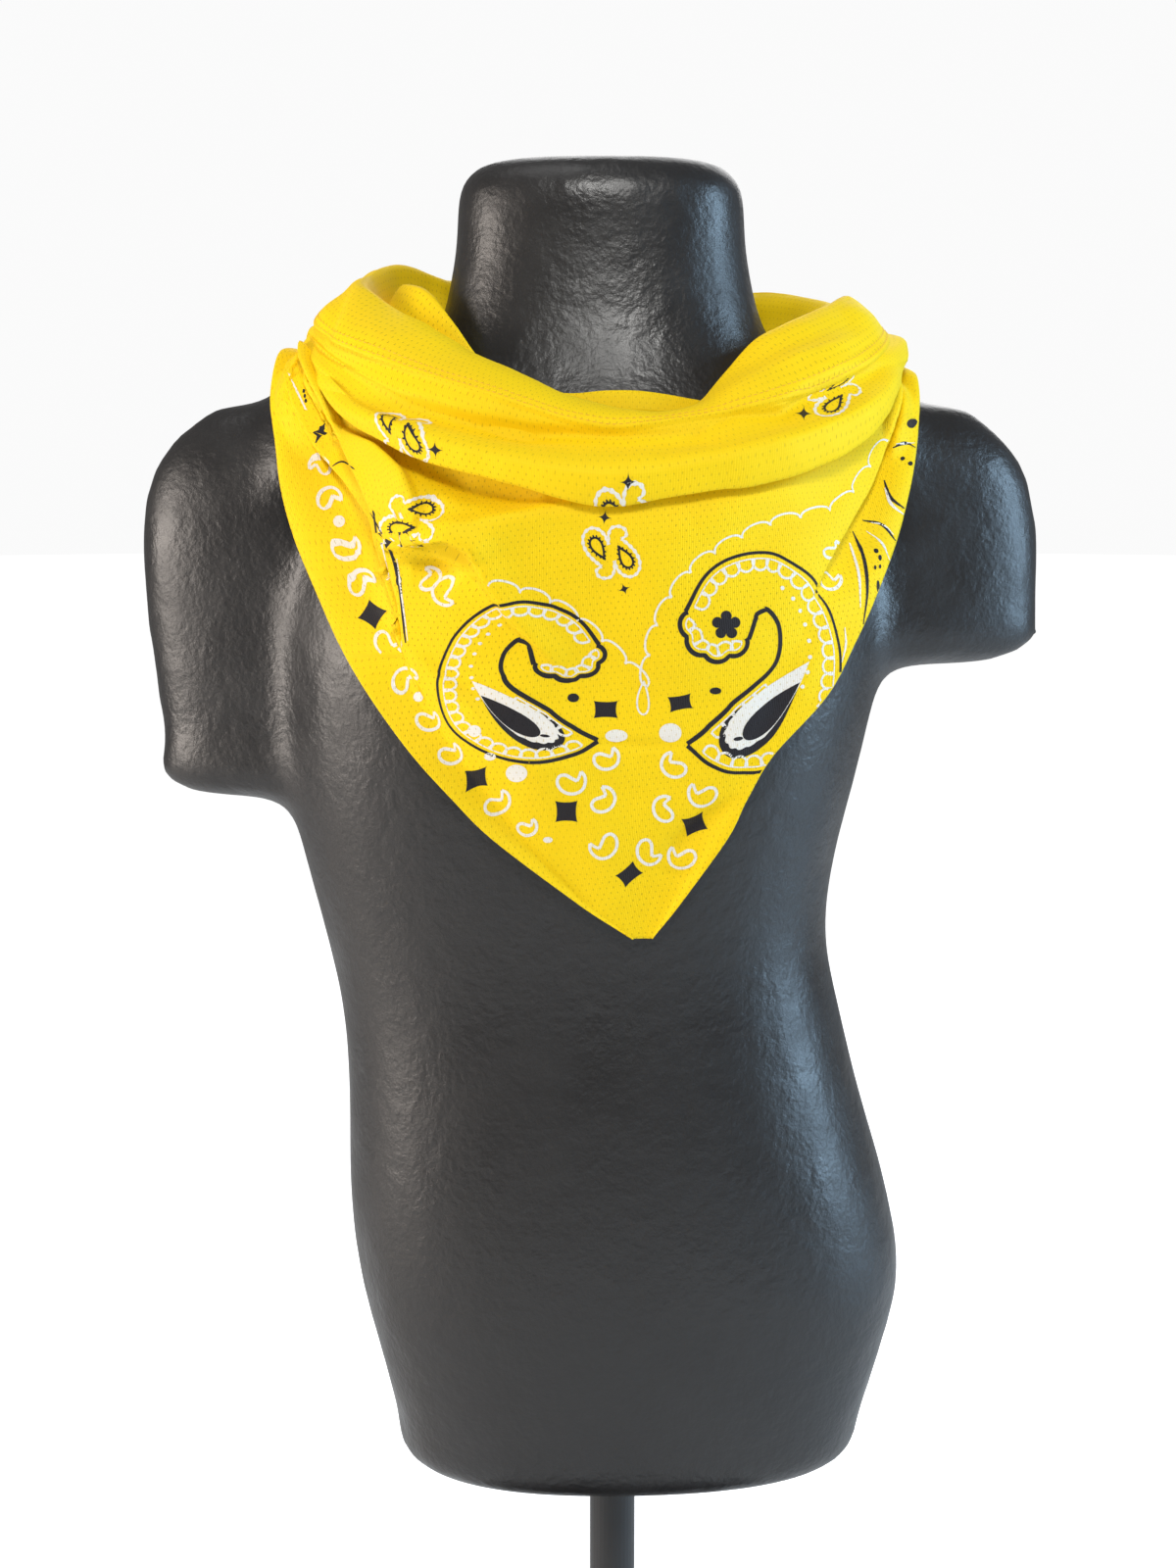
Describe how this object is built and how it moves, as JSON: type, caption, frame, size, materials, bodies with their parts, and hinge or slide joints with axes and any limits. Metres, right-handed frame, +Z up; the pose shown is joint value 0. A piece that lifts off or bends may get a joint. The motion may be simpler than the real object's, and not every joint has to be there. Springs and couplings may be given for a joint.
{
  "type": "bandana on a dress form",
  "caption": "Triangular printed jersey bandana tied round the neck of a limbless black dress form, which stands on a pole and a round base.",
  "frame": {"origin": "middle of the round base's underside, on the floor, on the pole's axis", "axes": "+Z up along the pole; the form faces -Y; +X is to the right of a viewer who stands in front of it"},
  "size_m": [0.4517, 0.3, 0.912],
  "materials": {
    "printed_jersey": "bright yellow mesh jersey with a black and white paisley print, satin sheen",
    "form_skin": "black, semi-gloss, fine orange-peel texture",
    "stand_steel": "satin black powder coat"
  },
  "bodies": {
    "root": {"front_panel": "printed_jersey", "left_pleat": "printed_jersey", "left_wing": "printed_jersey", "right_wing": "printed_jersey", "collar_roll": "printed_jersey", "collar_top": "printed_jersey", "collar_inner": "printed_jersey", "nape_left": "printed_jersey", "nape_right": "printed_jersey", "knot": "printed_jersey", "tail_left": "printed_jersey", "tail_right": "printed_jersey", "dress_form": "form_skin", "pole": "stand_steel", "base": "stand_steel"}
  },
  "joints": []
}
